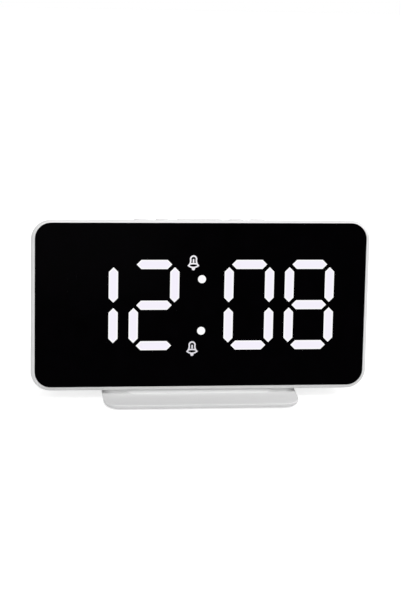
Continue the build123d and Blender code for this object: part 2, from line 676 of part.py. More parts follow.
with BuildPart() as colon_dots:
    with BuildSketch(FACE):
        with Locations(*DOT_PLACES):
            Circle(DOT_DIAMETER / 2 - GUIDE_GAP)
    extrude(amount=-PANEL_THICKNESS)
finish(colon_dots.part, "colon_dots")

# Bell signs: translucent outlines, with black infill set in their fronts
with BuildPart() as alarm_icons:
    with BuildSketch(FACE):
        with Locations(*BELL_PLACES):
            add(bell_guide.sketch)
    extrude(amount=-PANEL_THICKNESS)
    with BuildSketch(FACE):
        with Locations(*BELL_PLACES):
            add(bell_mask.sketch)
    extrude(amount=-BELL_MASK_DEPTH, mode=Mode.SUBTRACT)
finish(alarm_icons.part, "alarm_icons")

with BuildPart() as icon_masks:
    with BuildSketch(FACE):
        with Locations(*BELL_PLACES):
            add(bell_mask.sketch)
    extrude(amount=-BELL_MASK_DEPTH)
finish(icon_masks.part, "icon_masks")

# Diffuser film behind the panel
with BuildPart() as diffuser_film:
    with BuildSketch(FACE.offset(-PANEL_THICKNESS)):
        Rectangle(REFLECTOR_WIDTH, REFLECTOR_HEIGHT)
    extrude(amount=-TAPE_THICKNESS)
finish(diffuser_film.part, "diffuser_film")

# Reflector: a white light well behind every window, pegged to the board
PEG_PITCH_U = REFLECTOR_WIDTH - 2 * PEG_INSET
PEG_PITCH_V = REFLECTOR_HEIGHT - 2 * PEG_INSET
with BuildPart() as reflector:
    with BuildSketch(FACE.offset(SEAT)):
        Rectangle(REFLECTOR_WIDTH, REFLECTOR_HEIGHT)
        draw_bars(ALL_BARS, POCKET_MARGIN, Mode.SUBTRACT)
        with Locations(*DOT_PLACES):
            Circle(DOT_DIAMETER / 2 + POCKET_MARGIN, mode=Mode.SUBTRACT)
        with Locations(*BELL_PLACES):
            Rectangle(BELL_WIDTH, BELL_HEIGHT, mode=Mode.SUBTRACT)
    extrude(amount=-REFLECTOR_DEPTH)
    with BuildSketch(FACE.offset(BOARD_FRONT)):
        with GridLocations(PEG_PITCH_U, PEG_PITCH_V, 2, 2):
            Circle(PEG_RADIUS)
    extrude(amount=-BOARD_THICKNESS - PEG_HEAD)
finish(reflector.part, "reflector")

# Display board, with ears that reach the bezel's bosses
with BuildPart() as display_board:
    with BuildSketch(FACE.offset(BOARD_FRONT)):
        Rectangle(REFLECTOR_WIDTH, REFLECTOR_HEIGHT)
        Rectangle(2 * (BOARD_SCREW_U + EAR_REACH), 2 * (BOARD_SCREW_V + EAR_REACH))
        with GridLocations(2 * BOARD_SCREW_U, 2 * BOARD_SCREW_V, 2, 2):
            Circle(SMALL_SHANK_RADIUS + SHANK_ROOM, mode=Mode.SUBTRACT)
        with GridLocations(PEG_PITCH_U, PEG_PITCH_V, 2, 2):
            Circle(PEG_RADIUS + PEG_GAP, mode=Mode.SUBTRACT)
    extrude(amount=-BOARD_THICKNESS)
finish(display_board.part, "display_board")

# LEDs in the light wells
with BuildPart() as segment_leds:
    with BuildSketch(FACE.offset(BOARD_FRONT)):
        with Locations(*[place for place, cell_side in ALL_BARS]):
            with GridLocations(LED_PITCH, 0, LEDS_PER_SEGMENT, 1):
                Rectangle(LED_LENGTH, LED_WIDTH)
        with Locations(*DOT_PLACES, *BELL_PLACES):
            Rectangle(LED_LENGTH, LED_WIDTH)
    extrude(amount=LED_HEIGHT)
finish(segment_leds.part, "segment_leds")


def corners(u, v):
    """Four places mirrored about both middle lines."""
    return [(u, v), (-u, v), (u, -v), (-u, -v)]


def screw_group(plane, places, head_radius, head_height, shank_radius, shank_length):
    """Like screws with cross recesses: heads behind a plane, shanks along its normal."""
    with BuildPart() as group:
        with BuildSketch(plane):
            with Locations(*places):
                Circle(head_radius)
        extrude(amount=-head_height)
        fillet(group.edges().group_by(Axis(plane.origin, plane.z_dir))[0], HEAD_EDGE)
        with BuildSketch(plane):
            with Locations(*places):
                Circle(shank_radius)
        extrude(amount=shank_length)
        cross_length = 2 * (head_radius - CROSS_MARGIN)
        with BuildSketch(plane.offset(-head_height)):
            with Locations(*places):
                Rectangle(cross_length, CROSS_WIDTH)
                Rectangle(CROSS_WIDTH, cross_length)
        extrude(amount=CROSS_DEPTH, mode=Mode.SUBTRACT)
    return group.part


# Screws of the case, from the wells into the bezel
case_screws = screw_group(
    CASE.offset(HEAD_SEAT),
    corners(CASE_SCREW_U, CASE_SCREW_V),
    CASE_HEAD_RADIUS,
    CASE_HEAD_HEIGHT,
    CASE_SHANK_RADIUS,
    WELL_FLOOR + CASE_BITE,
)
finish(case_screws, "case_screws")

# Screws of the display board
board_screws = screw_group(
    FACE.offset(BOARD_BACK),
    corners(BOARD_SCREW_U, BOARD_SCREW_V),
    SMALL_HEAD_RADIUS,
    SMALL_HEAD_HEIGHT,
    SMALL_SHANK_RADIUS,
    BOARD_THICKNESS + SMALL_BITE,
)
finish(board_screws, "board_screws")

# Screws of the key board, up into the posts of the rear cover
key_board_screws = screw_group(
    KEYS.offset(KEY_BOARD_BOTTOM),
    KEY_POST_PLACES,
    SMALL_HEAD_RADIUS,
    SMALL_HEAD_HEIGHT,
    SMALL_SHANK_RADIUS,
    KEY_BOARD_THICKNESS + SMALL_BITE,
)
finish(key_board_screws, "key_board_screws")

# Screws of the base, up through the neck into the rear cover
base_screws = screw_group(
    Plane.XY.offset(BASE_HEAD_LEVEL),
    BASE_SCREW_PLACES,
    BASE_HEAD_RADIUS,
    BASE_HEAD_HEIGHT,
    BASE_SHANK_RADIUS,
    CASE_BOTTOM - BASE_HEAD_LEVEL + BASE_BITE,
)
finish(base_screws, "base_screws")


def key_button(key_u, key_width):
    """One key: cap through the top wall, flange that keeps it in, and the stem on its switch."""
    with BuildPart() as button:
        with BuildSketch(KEYS.offset(FLANGE_TOP)):
            with Locations((key_u, 0)):
                RectangleRounded(key_width, KEY_DEPTH, KEY_CORNER)
        extrude(amount=KEY_PROUD - FLANGE_TOP)
        fillet(button.edges().group_by(Axis(KEYS.origin, KEYS.z_dir))[-1], KEY_EDGE)
        with BuildSketch(KEYS.offset(FLANGE_BOTTOM)):
            with Locations((key_u, 0)):
                RectangleRounded(
                    key_width + 2 * FLANGE_REACH, KEY_DEPTH + 2 * FLANGE_REACH, KEY_CORNER + FLANGE_REACH
                )
        extrude(amount=FLANGE_THICKNESS)
        with BuildSketch(KEYS.offset(STEM_BOTTOM)):
            with Locations((key_u, 0)):
                Circle(STEM_RADIUS)
        extrude(amount=STEM_LENGTH)
    return button.part


def switch_plunger(key_u):
    """The round plunger of one key switch, which goes down with its key."""
    with BuildPart() as plunger:
        with BuildSketch(KEYS.offset(STEM_BOTTOM)):
            with Locations((key_u, 0)):
                Circle(PLUNGER_RADIUS)
        extrude(amount=-PLUNGER_PROUD - PLUNGER_SUNK)
    return plunger.part


# Five keys and the plungers under them
for key_name, (key_u, key_width) in KEY_ROW.items():
    finish(key_button(key_u, key_width), f"{key_name}_button")
    finish(switch_plunger(key_u), f"{key_name}_plunger")

# Bodies of the key switches, on the key board
with BuildPart() as key_switches:
    with BuildSketch(KEYS.offset(KEY_BOARD_TOP)):
        with Locations(*KEY_PLACES):
            Rectangle(SWITCH_SIZE, SWITCH_SIZE)
    extrude(amount=SWITCH_HEIGHT)
    with BuildSketch(KEYS.offset(SWITCH_TOP)):
        with Locations(*KEY_PLACES):
            Circle(PLUNGER_RADIUS + PLUNGER_GAP)
    extrude(amount=-PLUNGER_SUNK - KEY_TRAVEL - PLUNGER_ROOM, mode=Mode.SUBTRACT)
finish(key_switches.part, "key_switches")

# Key board, screwed to its two posts
with BuildPart() as key_board:
    with BuildSketch(KEYS.offset(KEY_BOARD_TOP)):
        Rectangle(KEY_BOARD_LENGTH, KEY_BOARD_DEPTH)
        with Locations(*KEY_POST_PLACES):
            Circle(SMALL_SHANK_RADIUS + SHANK_ROOM, mode=Mode.SUBTRACT)
    extrude(amount=-KEY_BOARD_THICKNESS)
finish(key_board.part, "key_board")

# Flat ribbon from the key board, down along the display board and onto its back
RIBBON_TOP = KEYS.from_local_coords(Vector(RIBBON_U, 0, KEY_BOARD_BOTTOM))
RIBBON_BREAK = RIBBON_TOP - KEYS.z_dir * RIBBON_EXIT
RIBBON_LEVEL = FACE.to_local_coords(RIBBON_BREAK).Z
RIBBON_V = REFLECTOR_HEIGHT / 2 - RIBBON_INSET
RIBBON_TURN = FACE.from_local_coords(Vector(RIBBON_U, RIBBON_V, RIBBON_LEVEL))
RIBBON_END = FACE.from_local_coords(Vector(RIBBON_U, RIBBON_V, BOARD_BACK))
with BuildPart() as key_ribbon:
    with BuildLine():
        FilletPolyline(RIBBON_TOP, RIBBON_BREAK, RIBBON_TURN, RIBBON_END, radius=RIBBON_BEND)
    with BuildSketch(Plane(origin=RIBBON_TOP, x_dir=(1, 0, 0), z_dir=-KEYS.z_dir)):
        Rectangle(RIBBON_WIDTH, RIBBON_THICKNESS)
    sweep()
finish(key_ribbon.part, "key_ribbon")

# Backup cell in its chamber
with BuildPart() as coin_cell:
    with BuildSketch(FACE.offset(GROOVE_END)):
        with Locations((BAY_U, BAY_V)):
            Circle(COIN_RADIUS)
    extrude(amount=COIN_HEIGHT)
    fillet(coin_cell.edges(), COIN_EDGE)
finish(coin_cell.part, "coin_cell")

# Contacts: a leaf under the cell and a clip at its rim, each with a tail through the bay floor
with BuildPart() as cell_negative_contact:
    with BuildSketch(FACE.offset(COIN_FRONT)):
        with Locations((BAY_U, BAY_V)):
            Rectangle(CONTACT_WIDTH, CONTACT_LENGTH)
    extrude(amount=CONTACT_THICKNESS)
    with BuildSketch(FACE.offset(BAY_FLOOR)):
        with Locations((BAY_U, BAY_V)):
            Rectangle(TAIL_WIDTH, CONTACT_THICKNESS)
    extrude(amount=TAIL_END - BAY_FLOOR)
finish(cell_negative_contact.part, "cell_negative_contact")

with BuildPart() as cell_positive_contact:
    with BuildSketch(FACE.offset(GROOVE_END)):
        with Locations((BAY_U, CLIP_V)):
            Rectangle(CONTACT_WIDTH, CONTACT_THICKNESS)
    extrude(amount=BAY_FLOOR - GROOVE_END)
    with BuildSketch(FACE.offset(BAY_FLOOR)):
        with Locations((BAY_U, CLIP_V)):
            Rectangle(TAIL_WIDTH, CONTACT_THICKNESS)
    extrude(amount=TAIL_END - BAY_FLOOR)
finish(cell_positive_contact.part, "cell_positive_contact")

# Two short leads from the tails to the display board
LEAD_MIDDLE = (TAIL_END + BOARD_BACK) / 2
with BuildPart() as cell_leads:
    for tail_v, jog in ((BAY_V, -LEAD_JOG), (CLIP_V, LEAD_JOG)):
        lead_points = [
            FACE.from_local_coords(Vector(BAY_U, lead_v, level))
            for lead_v, level in (
                (tail_v, TAIL_END),
                (tail_v, LEAD_MIDDLE),
                (tail_v + jog, LEAD_MIDDLE),
                (tail_v + jog, BOARD_BACK),
            )
        ]
        with BuildLine():
            FilletPolyline(*lead_points, radius=LEAD_BEND)
        with BuildSketch(Plane(origin=lead_points[0], x_dir=(1, 0, 0), z_dir=FACE.z_dir)):
            Circle(LEAD_RADIUS)
        sweep()
finish(cell_leads.part, "cell_leads")

# Twist cap of the cell bay: brim flush with the rear face, plug, two lugs and a coin slot
with BuildPart() as battery_cap:
    with BuildSketch(FACE.offset(REAR)):
        with Locations((BAY_U, BAY_V)):
            Circle(CAP_RADIUS)
    extrude(amount=CAP_THICKNESS)
    chamfer(battery_cap.edges().group_by(OUTWARD)[0], CAP_EDGE)
    with BuildSketch(FACE.offset(REAR + CAP_THICKNESS)):
        with Locations((BAY_U, BAY_V)):
            Circle(PLUG_RADIUS)
    extrude(amount=THROAT_END + CAP_FLOAT + LUG_THICKNESS - REAR - CAP_THICKNESS)
    with BuildSketch(FACE.offset(THROAT_END + CAP_FLOAT)):
        with Locations((BAY_U, BAY_V)):
            Circle(LUG_RADIUS)
            Rectangle(2 * LUG_RADIUS, LUG_WIDTH, mode=Mode.INTERSECT)
    extrude(amount=LUG_THICKNESS)
    with BuildSketch(FACE.offset(REAR)):
        with Locations((BAY_U, BAY_V)):
            SlotOverall(COIN_SLOT_LENGTH, COIN_SLOT_WIDTH)
    extrude(amount=COIN_SLOT_DEPTH, mode=Mode.SUBTRACT)
finish(battery_cap.part, "battery_cap")

# Power inlet: housing on the board, nose in the rear cover, and the pin in its bore
NOSE_END = REAR + NOSE_SINK
JACK_END = INNER_REAR + JACK_WALL_GAP
BORE_FLOOR = NOSE_END + NOSE_BORE_DEPTH
with BuildPart() as power_jack:
    with BuildSketch(FACE.offset(BOARD_BACK)):
        with Locations((JACK_U, JACK_V)):
            Rectangle(JACK_SIZE, JACK_SIZE)
    extrude(amount=JACK_END - BOARD_BACK)
    with BuildSketch(FACE.offset(JACK_END)):
        with Locations((JACK_U, JACK_V)):
            Circle(NOSE_RADIUS)
    extrude(amount=NOSE_END - JACK_END)
    with BuildSketch(FACE.offset(NOSE_END)):
        with Locations((JACK_U, JACK_V)):
            Circle(NOSE_BORE_RADIUS)
    extrude(amount=NOSE_BORE_DEPTH, mode=Mode.SUBTRACT)
finish(power_jack.part, "power_jack")

with BuildPart() as power_jack_pin:
    with BuildSketch(FACE.offset(BORE_FLOOR)):
        with Locations((JACK_U, JACK_V)):
            Circle(PIN_RADIUS)
    extrude(amount=PIN_SHORT - NOSE_BORE_DEPTH)
finish(power_jack_pin.part, "power_jack_pin")

# Sounder behind the sound holes
with BuildPart() as alarm_buzzer:
    with BuildSketch(FACE.offset(BOARD_BACK)):
        with Locations((BUZZER_U, BUZZER_V)):
            Circle(BUZZER_RADIUS)
    extrude(amount=-BUZZER_HEIGHT)
    with BuildSketch(FACE.offset(BOARD_BACK - BUZZER_HEIGHT)):
        with Locations((BUZZER_U, BUZZER_V)):
            Circle(BUZZER_PORT_RADIUS)
    extrude(amount=BUZZER_PORT_DEPTH, mode=Mode.SUBTRACT)
finish(alarm_buzzer.part, "alarm_buzzer")

# Controller with a row of legs on each long side
with BuildPart() as controller_chip:
    with BuildSketch(FACE.offset(BOARD_BACK - CHIP_LIFT)):
        with Locations(CHIP_PLACE):
            Rectangle(*CHIP_SIZE)
    extrude(amount=-CHIP_HEIGHT)
    with BuildSketch(FACE.offset(BOARD_BACK)):
        with Locations(CHIP_PLACE):
            with GridLocations(
                CHIP_LEG_PITCH, CHIP_SIZE[1] + CHIP_LEG_SIZE[1] - 2 * CHIP_LEG_ROOT, CHIP_LEGS, 2
            ):
                Rectangle(*CHIP_LEG_SIZE)
    extrude(amount=-CHIP_LEG_HEIGHT)
finish(controller_chip.part, "controller_chip")

# Segment drivers, resistors and crystal
with BuildPart() as driver_chips:
    with BuildSketch(FACE.offset(BOARD_BACK)):
        with Locations(DRIVER_PLACE):
            with GridLocations(DRIVER_SPREAD, 0, DRIVER_COUNT, 1):
                Rectangle(*DRIVER_SIZE)
    extrude(amount=-DRIVER_HEIGHT)
finish(driver_chips.part, "driver_chips")

with BuildPart() as chip_resistors:
    with BuildSketch(FACE.offset(BOARD_BACK)):
        with Locations(RESISTOR_PLACE):
            with GridLocations(RESISTOR_PITCH, 0, RESISTOR_COUNT, 1):
                Rectangle(*RESISTOR_SIZE)
    extrude(amount=-RESISTOR_HEIGHT)
finish(chip_resistors.part, "chip_resistors")

with BuildPart() as clock_crystal:
    with BuildSketch(FACE.offset(BOARD_BACK)):
        with Locations(CRYSTAL_PLACE):
            SlotOverall(*CRYSTAL_SIZE)
    extrude(amount=-CRYSTAL_HEIGHT)
    fillet(clock_crystal.edges().group_by(OUTWARD)[0], CRYSTAL_EDGE)
finish(clock_crystal.part, "clock_crystal")

# Supply capacitors, over the inlet
with BuildPart() as filter_capacitors:
    with BuildSketch(FACE.offset(BOARD_BACK)):
        with Locations((JACK_U, CAPACITOR_V)):
            with GridLocations(CAPACITOR_SPREAD, 0, CAPACITOR_COUNT, 1):
                Circle(CAPACITOR_RADIUS)
    extrude(amount=-CAPACITOR_HEIGHT)
    fillet(filter_capacitors.edges().group_by(OUTWARD)[0], CAPACITOR_EDGE)
finish(filter_capacitors.part, "filter_capacitors")

# Base plate with its sloped neck, screw holes and foot recesses
with BuildPart() as base_plate:
    with BuildSketch(Plane.XY.offset(FOOT_PROUD)):
        RectangleRounded(BASE_WIDTH, BASE_DEPTH, BASE_CORNER)
    extrude(amount=BASE_THICKNESS)
    fillet(base_plate.edges().group_by(Axis.Z)[-1], BASE_ROUND)
    fillet(base_plate.edges().group_by(Axis.Z)[0], BASE_LOWER_ROUND)
    for width, depth, middle in NECK_STEPS:
        with BuildSketch(Plane.XY.offset(BASE_TOP)):
            with Locations((0, middle)):
                RectangleRounded(width + 2 * NECK_FLARE, depth + 2 * NECK_FLARE, NECK_CORNER + NECK_FLARE)
        extrude(amount=NECK_HEIGHT, taper=NECK_SLOPE)
    with BuildSketch(Plane.XY.offset(FOOT_PROUD)):
        with Locations(*corners(FOOT_U, FOOT_Y)):
            Circle(FOOT_RADIUS + FOOT_GAP)
    extrude(amount=FOOT_SINK, mode=Mode.SUBTRACT)
    with BuildSketch(Plane.XY.offset(FOOT_PROUD)):
        with Locations(*BASE_SCREW_PLACES):
            Circle(BASE_HEAD_RADIUS + BASE_HEAD_GAP)
    extrude(amount=BASE_HEAD_LEVEL - FOOT_PROUD, mode=Mode.SUBTRACT)
    with BuildSketch(Plane.XY.offset(BASE_HEAD_LEVEL)):
        with Locations(*BASE_SCREW_PLACES):
            Circle(BASE_SHANK_RADIUS + SHANK_ROOM)
    extrude(amount=CASE_BOTTOM - BASE_HEAD_LEVEL, mode=Mode.SUBTRACT)
finish(base_plate.part, "base_plate")

# Rubber feet in their recesses
with BuildPart() as rubber_feet:
    with BuildSketch():
        with Locations(*corners(FOOT_U, FOOT_Y)):
            Circle(FOOT_RADIUS)
    extrude(amount=FOOT_PROUD + FOOT_SINK)
    fillet(rubber_feet.edges().group_by(Axis.Z)[0], FOOT_EDGE)
finish(rubber_feet.part, "rubber_feet")
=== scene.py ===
import json
from math import cos, pi, radians, sin, sqrt

import bpy
import numpy as np
from mathutils import Matrix, Vector


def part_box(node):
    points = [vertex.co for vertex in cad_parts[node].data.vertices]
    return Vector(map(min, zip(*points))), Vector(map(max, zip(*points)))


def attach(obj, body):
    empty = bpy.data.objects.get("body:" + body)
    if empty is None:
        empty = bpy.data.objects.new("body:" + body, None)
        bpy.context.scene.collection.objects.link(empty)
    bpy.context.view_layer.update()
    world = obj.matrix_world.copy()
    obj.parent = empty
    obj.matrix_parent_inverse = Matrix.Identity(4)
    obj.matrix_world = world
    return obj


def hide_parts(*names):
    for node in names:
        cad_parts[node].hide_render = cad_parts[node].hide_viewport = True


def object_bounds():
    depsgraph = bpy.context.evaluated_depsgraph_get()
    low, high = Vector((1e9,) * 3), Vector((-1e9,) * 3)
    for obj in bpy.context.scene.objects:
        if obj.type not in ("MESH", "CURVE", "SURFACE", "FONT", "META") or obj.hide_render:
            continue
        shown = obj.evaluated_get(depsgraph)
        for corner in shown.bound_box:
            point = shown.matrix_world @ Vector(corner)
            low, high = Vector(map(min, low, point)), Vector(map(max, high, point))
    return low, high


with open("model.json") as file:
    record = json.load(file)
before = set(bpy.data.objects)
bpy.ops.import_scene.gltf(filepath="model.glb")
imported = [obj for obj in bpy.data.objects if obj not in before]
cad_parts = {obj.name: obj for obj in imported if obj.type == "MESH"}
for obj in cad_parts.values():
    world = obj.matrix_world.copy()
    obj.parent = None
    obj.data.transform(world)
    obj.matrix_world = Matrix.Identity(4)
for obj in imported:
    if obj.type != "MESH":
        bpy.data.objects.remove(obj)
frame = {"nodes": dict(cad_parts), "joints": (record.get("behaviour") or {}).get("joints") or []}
cad_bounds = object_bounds()

# Case: the front bezel and the deep rear cover behind it, injection moulded in white ABS.
# The steel tools were spark-eroded, which leaves a fine satin grain, and four screws from the
# rear draw the two halves together at the parting line.
MM = 0.001


def linear(colour):
    """Linear RGBA of an sRGB hex value: the sRGB curve undone channel by channel, alpha 1."""
    value = np.array([int(colour[at:at + 2], 16) for at in (1, 3, 5)]) / 255
    straight = np.where(value > 0.04045, ((value + 0.055) / 1.055) ** 2.4, value / 12.92)
    return (*straight.tolist(), 1.0)


def node(tree, kind, inputs=None, **settings):
    """Add one node, set its properties, and give its inputs, by name or number, a value or an output."""
    added = tree.nodes.new("ShaderNode" + kind)
    for setting, value in settings.items():
        setattr(added, setting, value)
    for socket, value in (inputs or {}).items():
        if isinstance(value, bpy.types.NodeSocket):
            tree.links.new(value, added.inputs[socket])
        else:
            added.inputs[socket].default_value = value
    return added


def blank_material(name):
    """A material with an empty node tree, and that tree."""
    made = bpy.data.materials.new(name)
    made.use_nodes = True
    made.node_tree.nodes.clear()
    return made, made.node_tree


def grained(name, colours, grain, roughness, relief, stretch=(1, 1, 1), **sockets):
    """One noise, as coarse as the grain in millimetres and drawn out along an axis by the stretch, runs
    between the two colours and the two roughnesses, and lifts the surface by the relief in millimetres."""
    made, tree = blank_material(name)
    place = node(tree, "TexCoord").outputs["Object"]
    scale = [1 / (grain * MM * along) for along in stretch]
    cells = node(tree, "Mapping", {"Vector": place, "Scale": scale}).outputs[0]
    noise = node(tree, "TexNoise", {"Vector": cells, "Scale": 1.0, "Detail": 3.0}).outputs[0]
    shade = node(tree, "Mix", {0: noise, 6: linear(colours[0]), 7: linear(colours[1])}, data_type="RGBA")
    gloss = node(tree, "MapRange", {"Value": noise, "To Min": roughness[0], "To Max": roughness[1]})
    lift = node(tree, "Bump", {"Height": noise, "Distance": relief * MM, "Strength": 1.0})
    shader = node(tree, "BsdfPrincipled", {
        "Base Color": shade.outputs[2], "Roughness": gloss.outputs[0], "Normal": lift.outputs[0], **sockets})
    node(tree, "OutputMaterial", {"Surface": shader.outputs[0]})
    return made


def dress(material, *names):
    """Put a finished material on CAD nodes in place of the plain one that they come with."""
    for name in names:
        frame["nodes"][name].material_slots[0].material = material


# White ABS: a neutral, slightly grey white with a satin sheen. The real grain is under 0.1 mm and is
# drawn at 0.35 mm, so that it still breaks up the highlights in a picture.
white_abs = grained(
    "moulded white ABS", colours=("#E3E3E3", "#EAEAEA"), grain=0.35, roughness=(0.34, 0.46), relief=0.004,
    IOR=1.53)
dress(white_abs, "front_bezel", "rear_cover")

# Front panel: smoked black acrylic with a hard anti-glare coat, laser cut with a window for each
# light guide and stuck into the bezel with a ring of black foam tape. The battery cap turns about a
# line square to the face, so its axis gives the face's lean.
PANEL_THICKNESS = 2.0
twist = next(joint for joint in frame["joints"] if joint["name"] == "battery_cap_twist")
OUT = -np.array(twist["axis"])
RIGHT = np.array((1.0, 0.0, 0.0))
UP = np.cross(OUT, RIGHT)
panel_low, panel_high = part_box("lens_panel")
FACE_CENTRE = np.array((panel_low + panel_high) / 2) + OUT * PANEL_THICKNESS / 2 * MM


def on_face(u, v, w):
    """World metres of millimetres on the leaning face: its centre, plus u to the right, v up the face
    and w out of it."""
    return FACE_CENTRE + MM * (u[..., None] * RIGHT + v[..., None] * UP + w[..., None] * OUT)


# Smoked acrylic: dead black, with a faint slow ripple of about 9 mm from the casting. The coat kills
# most of the mirror image that bare acrylic shows, so the specular level is far below the usual 0.5.
black_acrylic = grained(
    "smoked black acrylic", colours=("#000000", "#030204"), grain=9.0, roughness=(0.10, 0.16), relief=0.0002,
    **{"IOR": 1.49, "Specular IOR Level": 0.005})
dress(black_acrylic, "lens_panel", "unlit_segments", "icon_masks")

# Foam tape: a dull dark grey, with open pores that swallow the light.
foam_tape = grained(
    "black foam tape", colours=("#1B1B1C", "#2A2A2B"), grain=0.4, roughness=(0.80, 0.95), relief=0.1)
dress(foam_tape, "panel_tape")

# Lit light guides: pointed bars of opal polycarbonate that stand in the panel's windows, flush with
# its front. White LEDs behind them light the pale body evenly, and the window's edge shows brightest.
CELL = 20.36
STROKE = 4.6
SEGMENT_GAP = 1.9
GUIDE_GAP = 0.04
GUIDE_BREAK = 0.08
GLOW_EDGE = 0.9
CREASE = radians(30)
INNER_DIGIT = 23.75
OUTER_DIGIT = 54.15
DIGIT_CENTRES = (-OUTER_DIGIT, -INNER_DIGIT, INNER_DIGIT, OUTER_DIGIT)
SHOWN = ("bc", "abdeg", "abcdef", "abcdefg")
SEGMENT_CELLS = {
    "a": (0, 1, 0),
    "b": (0.5, 0.5, 90),
    "c": (0.5, -0.5, 90),
    "d": (0, -1, 0),
    "e": (-0.5, -0.5, 90),
    "f": (-0.5, 0.5, 90),
    "g": (0, 0, 0),
}


def pointed_bars(places, profile):
    """Hexagonal bars. A row of the profile is (inset, level): half the bar's width less the inset, and
    its half length less the inset times the square root of 2, give the six corners, which are turned
    and moved to each place."""
    inset, level = (column[:, None] for column in np.array(profile).T)
    half = STROKE / 2 - inset
    tip = (CELL - SEGMENT_GAP * sqrt(2)) / 2 - inset * sqrt(2)
    along = tip * np.array((1, 1, -1, -1, -1, 1)) - half * np.array((0, 1, -1, 0, -1, 1))
    across = half * np.array((0, 1, 1, 0, -1, -1))
    centre_u, centre_v, turn = (column[:, None, None] for column in np.array(places, float).T)
    turn = np.radians(turn)
    u = centre_u + along * np.cos(turn) - across * np.sin(turn)
    v = centre_v + along * np.sin(turn) + across * np.cos(turn)
    return on_face(u, v, np.broadcast_to(level, u.shape))


def skin(name, points):
    """Mesh over stacks of closed loops, points[stack, row, column]: a quad between each four neighbours,
    and a flat cap on the first and last loop of every stack."""
    index = np.arange(points[..., 0].size).reshape(points.shape[:-1])
    beside = np.roll(index, -1, axis=2)
    quads = np.stack((index[:, :-1], beside[:, :-1], beside[:, 1:], index[:, 1:]), axis=-1)
    caps = index[:, -1].tolist() + index[:, 0, ::-1].tolist()
    mesh = bpy.data.meshes.new(name)
    mesh.from_pydata(points.reshape(-1, 3).tolist(), [], quads.reshape(-1, 4).tolist() + caps)
    mesh.shade_smooth()
    mesh.set_sharp_from_angle(angle=CREASE)
    piece = bpy.data.objects.new(name, mesh)
    bpy.context.scene.collection.objects.link(piece)
    return piece


def light_up(piece, shape, glow):
    """Store how far inside the window's edge each row of points lies, 0 at the edge and 1 in the body."""
    values = np.broadcast_to(np.array(glow)[:, None], shape).astype(np.float32)
    piece.data.attributes.new("glow", "FLOAT", "POINT").data.foreach_set("value", values.ravel())


def fit(piece, material, body, slot, *nodes):
    """Finish a piece: its material, the body it rides on, and the CAD nodes it stands for. The slot is not
    used.
    """
    piece.data.materials.append(material)
    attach(piece, body)
    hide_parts(*nodes)


def light_from_behind(tree, colour):
    """Close a tree with a dark satin body that sends out the given colour, as a lit guide does."""
    shader = node(tree, "BsdfPrincipled", {
        "Base Color": linear("#1C1B1F"), "Roughness": 0.45, "IOR": 1.58, "Specular IOR Level": 0.1,
        "Emission Color": colour, "Emission Strength": 1.0})
    node(tree, "OutputMaterial", {"Surface": shader.outputs[0]})


# Lit opal polycarbonate: its light is its colour, a lavender white inside a whiter outline.
lit_guide, tree = blank_material("lit opal polycarbonate")
glow = node(tree, "Attribute", attribute_name="glow").outputs["Fac"]
light = node(tree, "Mix", {0: glow, 6: linear("#FFFFFF"), 7: linear("#F1EDF8")}, data_type="RGBA")
light_from_behind(tree, light.outputs[2])

lit_places = [
    (centre + across * CELL, up * CELL, turn)
    for centre, shown in zip(DIGIT_CENTRES, SHOWN)
    for letter, (across, up, turn) in SEGMENT_CELLS.items() if letter in shown
]
bar_profile = (
    (GUIDE_GAP, -PANEL_THICKNESS),
    (GUIDE_GAP, -GUIDE_BREAK),
    (GUIDE_GAP + GUIDE_BREAK, 0.0),
    (GLOW_EDGE, 0.0),
)
bars = pointed_bars(lit_places, bar_profile)
digit_bars = skin("digit_bars", bars)
light_up(digit_bars, bars.shape[:-1], (0.0, 0.0, 0.0, 1.0))
fit(digit_bars, lit_guide, "clock", "lit_diffuser", "lit_segments")

# Colon: two round light guides of the same opal polycarbonate, turned pegs with a softened edge,
# pressed into their holes between the digits. So small a window is nearly all edge and looks whiter.
DOT_RADIUS = 2.025
DOT_RISE = 13.0
DOT_SIDES = 48
DOT_GLOW = 0.4


def turned_pegs(places, profile):
    """Round pegs: a row of the profile, (radius, level), is a circle about each peg's place on the face."""
    radius, level = (column[:, None] for column in np.array(profile).T)
    angle = np.linspace(0, 2 * pi, DOT_SIDES, endpoint=False)
    centre_u, centre_v = (column[:, None, None] for column in np.array(places, float).T)
    u = centre_u + radius * np.cos(angle)
    v = centre_v + radius * np.sin(angle)
    return on_face(u, v, np.broadcast_to(level, u.shape))


dot_profile = (
    (DOT_RADIUS - GUIDE_GAP, -PANEL_THICKNESS),
    (DOT_RADIUS - GUIDE_GAP, -GUIDE_BREAK),
    (DOT_RADIUS - GUIDE_GAP - GUIDE_BREAK, 0.0),
    (DOT_RADIUS - GLOW_EDGE, 0.0),
)
pegs = turned_pegs(((0, DOT_RISE), (0, -DOT_RISE)), dot_profile)
colon_pegs = skin("colon_pegs", pegs)
light_up(colon_pegs, pegs.shape[:-1], (0.0, 0.0, 0.0, DOT_GLOW))
fit(colon_pegs, lit_guide, "clock", "lit_diffuser", "colon_dots")

# Alarm bells: two small signs beside the colon, opal guides with a black infill that leaves only
# their outline lit. One weak LED each, so they are dimmer than the digits, the lower one most.
bells_low, bells_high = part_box("alarm_icons")

# Dim opal polycarbonate: a flat pale grey light, weaker at the lower sign.
bell_guide, tree = blank_material("dimly lit opal polycarbonate")
place = node(tree, "TexCoord").outputs["Object"]
height = node(tree, "SeparateXYZ", {0: place}).outputs["Z"]
share = node(tree, "MapRange", {"Value": height, "From Min": bells_low.z, "From Max": bells_high.z})
light = node(tree, "Mix", {
    0: share.outputs[0], 6: linear("#D8D6DC"), 7: linear("#F0EEF3")}, data_type="RGBA")
light_from_behind(tree, light.outputs[2])
dress(bell_guide, "alarm_icons")

